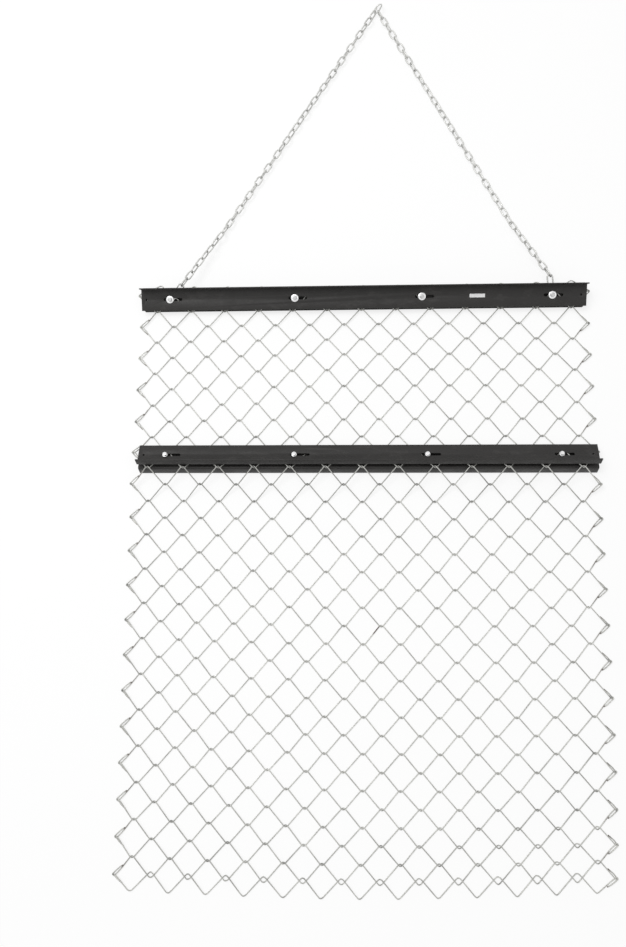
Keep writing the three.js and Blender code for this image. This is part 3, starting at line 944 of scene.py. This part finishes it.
def washer_ring(bore, outer, thick):
    soft = 0.25 * mm
    under = [(bore, soft), (bore + soft, 0), (outer - soft, 0), (outer, soft)]
    over = [(r, thick - z) for r, z in reversed(under)]
    return smooth(spun("washer", under + over, 48), 50)


def bored_nut(bore):
    """A plain nut whose hole is flared at both ends."""
    sink, flare, overrun = 0.6 * mm, 1.4 * mm, 1 * mm
    low = [(axis_gap, -overrun), (bore + flare, -overrun), (bore, sink)]
    high = [(r, nut_height - z) for r, z in reversed(low)]
    return smooth(cut(hex_block("nut", nut_height), spun("bore", low + high, 32)), 35)


class DRAGMAT_OT_fasteners(Operator):
    """Turns one bolt, washer and nut, and sets a copy at each slot"""

    bl_idname = "drag_mat.fasteners"
    bl_label = "Bolts, washers and nuts"

    def execute(self, context):
        settings = context.scene.drag_mat_fasteners
        zinc = bright_zinc("bright_zinc", settings.color, 0.3)
        dull = bright_zinc("dull_zinc", tuple(c * 0.6 for c in settings.color), 0.34)
        head = hex_block("head", head_height)
        shank = threaded_shank(settings, fuse_overlap - bolt_length, fuse_overlap)
        bolt = smooth(join([head, shank], "bolt"), 35)
        bore = settings.bolt_diameter / 2 + seat_gap
        washers = {name: washer_ring(bore, outer, washer_thickness) for name, outer in washer_radii.items()}
        nut = bored_nut(bore)
        dice = random.Random(8)
        for bar in bars:
            washer_z = bar.gap / 2 + rail_wall + seat_gap
            head_z = washer_z + washer_thickness + seat_gap
            kinds = [
                ("washer", washers[bar.name], washer_z, zinc),
                ("bolt", bolt, head_z, dull if bar is bars[0] else zinc),
                ("nut", nut, -washer_z - nut_height, dull),
            ]
            for i, x in enumerate(bar.bolts):
                for kind, model, z, finish in kinds:
                    node = f"{bar.name}_{kind}_{i + 1}"
                    turn = Matrix.Rotation(dice.uniform(0, math.pi / 3) if kind == "washer" else 0, 4, "Z")
                    place = bar_matrix(bar) @ Matrix.Translation((x, 0, z)) @ turn
                    piece = copy_of(model, "turned_" + node, place)
                    hand_over(piece, node, finish)
        for model in (*washers.values(), bolt, nut):
            drop(model)
        return {"FINISHED"}


# Chain

# Along a link's straight sides, the places where its wire may swell, and how much it does there
side_shares = (-0.85, -0.7, 0, 0.7, 0.85)
weld_swell = (1.0, 1.0, 1.14, 1.0, 1.0)
sleeve_swell = (1.0, 1.45, 1.5, 1.45, 1.0)
link_steps, loop_steps = 6, 8
link_sides, loop_sides = 10, 12
pull_link_turn = math.radians(-25)
pull_link_roll = math.radians(-35)
chain_legs = [
    {"name": "left", "bolt": front_bolt_places[0], "runs": [9, 8, 8, 8, 8], "turn": -10, "lean": -0.1},
    {"name": "right", "bolt": front_bolt_places[-1], "runs": [8, 8, 8, 8, 7], "turn": -18, "lean": 0.1},
]


def link_path(middle, along, normal, inside_length, inside_width, wire, steps):
    """The closed line of a link's wire: two straight sides and two round ends."""
    across = normal.cross(along)
    side = (inside_width + wire) / 2
    straight = (inside_length + wire) / 2 - side
    points = []
    for way, turn in ((1, 1), (-1, -1)):
        for k in range(steps + 1):
            angle = math.pi * (k / steps - 0.5)
            a = way * (straight + side * math.cos(angle))
            b = turn * side * math.sin(angle)
            points.append(middle + along * a + across * b)
        for share in side_shares:
            points.append(middle + along * (-way * share * straight) + across * (turn * side))
    return points


def side_swell(steps, swell):
    """Point sizes round a link, one of whose straight sides is swollen as given for each of its places."""
    plain = [1.0] * (steps + 1)
    return plain + list(swell) + plain + [1.0] * len(side_shares)


def meet(a, a_radius, b, b_radius):
    """Where two circles meet, on the side ahead of them."""
    span = (b - a).length
    along = (a_radius ** 2 - b_radius ** 2 + span ** 2) / (2 * span)
    off = math.sqrt(a_radius ** 2 - along ** 2)
    way = (b - a).normalized()
    return a + way * along + Vector((-way.y, way.x)) * off


def lay_chain():
    """The two legs of the V: their end loops, their straight runs of links, and where they meet."""
    run_hook = 2 * run_wire.across + hook_room
    end_hook = end_wire.across + run_wire.across + 2 * hook_room
    reach = (link_inside_length + link_wire) / 2
    pitch = link_inside_length + fuse_overlap
    bar = bars[0]
    chain_rest = (link_inside_width + link_wire) / 2 + run_wire.across
    loop_over = bar.gap / 2 - seat_gap - end_wire.above
    loop_half = (end_loop_inside_length + link_wire) / 2
    loop_middle = loop_half - end_wire.across - bolt_diameter / 2 - seat_gap
    loop_reach = loop_middle + loop_half
    legs = [dict(leg) for leg in chain_legs]

    def run_length(links, hook):
        return 2 * reach - hook + (links - 1) * pitch

    for leg in legs:
        leg["later"] = sum(run_length(n, run_hook) for n in leg["runs"][1:])
        leg["rough"] = loop_reach * math.cos(rail_tilt) + run_length(leg["runs"][0], end_hook) + leg["later"]
        leg["at"] = Vector((leg["bolt"], bar.y))
    rough = meet(legs[0]["at"], legs[0]["rough"], legs[1]["at"], legs[1]["rough"])
    floor = rows[rows_to_second_bar - 1].z - mesh_half_thickness
    for leg in legs:
        flat = (rough - leg["at"]).normalized()
        flat.rotate(Matrix.Rotation(math.radians(leg["turn"]), 2))
        heading = Vector((flat.x, flat.y / math.cos(rail_tilt), 0)).normalized()
        tip = in_bar(bar.side, bar.y, bar.z, heading.y * loop_reach, loop_over)
        leg["start"] = Vector((leg["bolt"] + heading.x * loop_reach, tip[0], tip[1]))
        leg["loop_heading"] = heading
        leg["loop_middle"] = Vector((leg["bolt"], 0, loop_over)) + heading * loop_middle
        drop_height = leg["start"].z - floor - chain_rest
        leg["flat"] = math.sqrt(run_length(leg["runs"][0], end_hook) ** 2 - drop_height ** 2)
        leg["reach"] = leg["flat"] + leg["later"]
    eye_side = pull_link_inside_width / 4
    starts = [leg["start"].xy + Vector((way * eye_side, 0)) for leg, way in zip(legs, (1, -1))]
    apex = meet(starts[0], legs[0]["reach"], starts[1], legs[1]["reach"])
    for leg, way in zip(legs, (-1, 1)):
        goal = apex + Vector((way * eye_side, 0))
        heading = (goal - leg["start"].xy).normalized()
        at = leg["start"].copy()
        leg["links"] = []
        before = 0
        for run, links in enumerate(leg["runs"]):
            hook = end_hook if run == 0 else run_hook
            length = leg["flat"] if run == 0 else run_length(links, hook)
            onward = Vector((*(at.xy + heading * length), floor + chain_rest))
            along = (onward - at).normalized()
            across = along.cross(Vector((0, 0, 1))).normalized()
            lift = across.cross(along)
            made = []
            for i in range(links):
                upright = (i % 2 == 0) == (before % 2 == 0)
                middle = at + along * (reach - hook + i * pitch)
                made.append((middle, along.copy(), across.copy() if upright else lift.copy()))
            leg["links"].append(made)
            at = onward
            before += links
    pull_along = Vector((-math.sin(pull_link_turn), math.cos(pull_link_turn), 0))
    pull_hook = end_wire.across + run_wire.across + pull_hook_room
    pull_reach = (pull_link_inside_length + link_wire) / 2
    pull_middle = Vector((*apex, floor + chain_rest)) + pull_along * (pull_reach - pull_hook)
    return legs, pull_middle, pull_along


class DRAGMAT_OT_chain(Operator):
    """Lays the end loops, the welded links of both legs, and the pull link"""

    bl_idname = "drag_mat.chain"
    bl_label = "Tow chain"

    def execute(self, context):
        settings = context.scene.drag_mat_chain
        zinc = galvanised_wire("chain_zinc", settings.color, 0.6, 60)
        legs, pull_middle, pull_along = lay_chain()
        dice = random.Random(80)
        wire = settings.wire_diameter
        link = (settings.inside_length, settings.inside_width, wire, link_steps)
        end_loop = (end_loop_inside_length, settings.inside_width, wire, loop_steps)
        pull_link = (pull_link_inside_length, pull_link_inside_width, wire, loop_steps)
        up = Vector((0, 0, 1))

        def chain_piece(name, paths, sides, steps, swell):
            return wire_piece(name, paths, wire / 2, sides, True, side_swell(steps, swell))

        for leg in legs:
            side = leg["name"]
            loop = link_path(leg["loop_middle"], leg["loop_heading"], up, *end_loop)
            piece = chain_piece("end_loop_" + side, [loop], loop_sides, loop_steps, weld_swell)
            piece.data.transform(bar_matrix(bars[0]))
            hand_over(piece, "chain_end_loop_" + side, zinc)
            laid = dice.uniform(0, 9)
            for run, links in enumerate(leg["links"]):
                paths = []
                for middle, along, normal in links:
                    laid += dice.uniform(0.2, 0.5)
                    lean = leg["lean"] + math.sin(laid) * settings.twist + dice.uniform(-1, 1) * settings.roll
                    normal.rotate(Matrix.Rotation(lean, 3, along))
                    paths.append(link_path(middle, along, normal, *link))
                piece = chain_piece(f"links_{side}_{run + 1}", paths, link_sides, link_steps, weld_swell)
                hand_over(piece, f"chain_{side}_{run + 1}", zinc)
        up.rotate(Matrix.Rotation(pull_link_roll, 3, pull_along))
        path = link_path(pull_middle, pull_along, up, *pull_link)
        piece = chain_piece("tow_link", [path], loop_sides, loop_steps, sleeve_swell)
        hand_over(piece, "pull_link", zinc)
        return {"FINISHED"}


# Studio

soft_lamp_width = 3.0
lamp_aim = Vector((0, -0.2, 0))

# The camera's place and directions, fitted to the hooks, bars and bolts in the photo
camera_place = (-0.017189, -0.536960, 2.029843)
camera_right = Vector((0.998649, 0.008162, -0.051322))
camera_down = Vector((-0.001056, -0.984195, -0.177083))
camera_forward = Vector((-0.051956, 0.176898, -0.982857))


def seen_rays(tree):
    path = new_node(tree, "LightPath")
    total = path.outputs["Is Camera Ray"]
    for name in ("Is Glossy Ray", "Is Transmission Ray"):
        larger = new_node(tree, "Math", total, path.outputs[name])
        larger.operation = "MAXIMUM"
        total = larger.outputs[0]
    return total


def lit_and_seen(tree, lit, seen, output):
    """Shows one shader to the camera and in reflections, and lets another one light the scene."""
    choose = new_node(tree, "MixShader", seen_rays(tree), lit, seen)
    new_node(tree, output, choose.outputs[0])


def empty_tree(owner):
    owner.use_nodes = True
    owner.node_tree.nodes.clear()
    return owner.node_tree


def floor_material(color):
    material = bpy.data.materials.new("pale_floor")
    tree = empty_tree(material)
    plain = new_node(tree, "BsdfDiffuse", Color=(*color, 1))
    faint = new_node(tree, "BsdfDiffuse", Color=grey(0.3))
    glow = new_node(tree, "Emission", Strength=0.76)
    both = new_node(tree, "AddShader", faint.outputs[0], glow.outputs[0])
    lit_and_seen(tree, plain.outputs[0], both.outputs[0], "OutputMaterial")
    return material


class DRAGMAT_OT_studio(Operator):
    """Sets the pale floor, the soft lamps, the white surroundings and the camera"""

    bl_idname = "drag_mat.studio"
    bl_label = "Studio"

    def execute(self, context):
        settings = context.scene.drag_mat_studio
        under = (0, 0, -0.1 * mm)
        floor = new_shape(bpy.ops.mesh.primitive_plane_add, size=settings.floor_size, location=under)
        floor.name = "studio_floor"
        settle(floor)
        floor.data.materials.append(floor_material(settings.floor_color))
        self.surroundings(context)
        self.lamp("soft_key", (-1.9, 1.2, settings.key_height), 108)
        self.lamp("soft_fill", (2.4, -1.2, settings.key_height), 9)
        self.camera(context, settings.lens)
        context.scene.view_settings.view_transform = "Standard"
        return {"FINISHED"}

    def surroundings(self, context):
        world = bpy.data.worlds.new("studio_white")
        context.scene.world = world
        tree = empty_tree(world)
        light = new_node(tree, "Background", Color=grey(1), Strength=0.42)
        white = new_node(tree, "Background", Color=grey(1), Strength=1.0)
        lit_and_seen(tree, light.outputs[0], white.outputs[0], "OutputWorld")

    def lamp(self, name, place, power):
        bpy.ops.object.light_add(type="AREA", location=place)
        lamp = bpy.context.object
        lamp.name = name
        lamp.data.shape = "SQUARE"
        lamp.data.size = soft_lamp_width
        lamp.data.energy = power
        lamp.rotation_euler = (lamp_aim - Vector(place)).to_track_quat("-Z", "Y").to_euler()

    def camera(self, context, lens):
        bpy.ops.object.camera_add(location=camera_place)
        camera = bpy.context.object
        camera.name = "photo_camera"
        turned = Matrix((camera_right, -camera_down, -camera_forward)).transposed()
        camera.rotation_mode = "QUATERNION"
        camera.rotation_quaternion = turned.to_quaternion()
        camera.data.sensor_width = sensor_width
        camera.data.lens = lens
        camera.data.clip_start = 0.05
        camera.data.clip_end = 60
        context.scene.camera = camera


class DRAGMAT_PT_panel(Panel):
    """Lists the settings, and the operators that use them"""

    bl_label = "Drag mat"
    bl_space_type = "VIEW_3D"
    bl_region_type = "UI"
    bl_category = "Drag mat"

    def draw(self, context):
        for heading, name, _, operators in panel_rows:
            column = self.layout.column(align=True)
            column.label(text=heading)
            settings = getattr(context.scene, name)
            for key in settings.bl_rna.properties.keys():
                if key not in ("rna_type", "name"):
                    column.prop(settings, key)
            for operator in operators:
                column.operator(operator.bl_idname)


# The panel's headings, with the name and class of each one's settings and the operators that use them
panel_rows = [
    ("Woven wire", "drag_mat_wire", WovenWireSettings, [DRAGMAT_OT_woven_wire]),
    ("Rails", "drag_mat_rails", RailSettings, [DRAGMAT_OT_rails, DRAGMAT_OT_label]),
    ("Fasteners", "drag_mat_fasteners", FastenerSettings, [DRAGMAT_OT_fasteners]),
    ("Chain", "drag_mat_chain", ChainSettings, [DRAGMAT_OT_chain]),
    ("Studio", "drag_mat_studio", StudioSettings, [DRAGMAT_OT_studio]),
]
classes = [cls for _, _, group, operators in panel_rows for cls in (group, *operators)]
classes.append(DRAGMAT_PT_panel)


def register():
    for cls in classes:
        bpy.utils.register_class(cls)
    for _, name, group, _ in panel_rows:
        setattr(bpy.types.Scene, name, PointerProperty(type=group))


def unregister():
    for _, name, _, _ in panel_rows:
        delattr(bpy.types.Scene, name)
    for cls in reversed(classes):
        bpy.utils.unregister_class(cls)


def main():
    register()
    bpy.ops.drag_mat.studio()
    bpy.ops.drag_mat.woven_wire()
    bpy.ops.drag_mat.rails()
    bpy.ops.drag_mat.label()
    bpy.ops.drag_mat.fasteners()
    bpy.ops.drag_mat.chain()
    deselect_all()


if __name__ == "__main__":
    main()
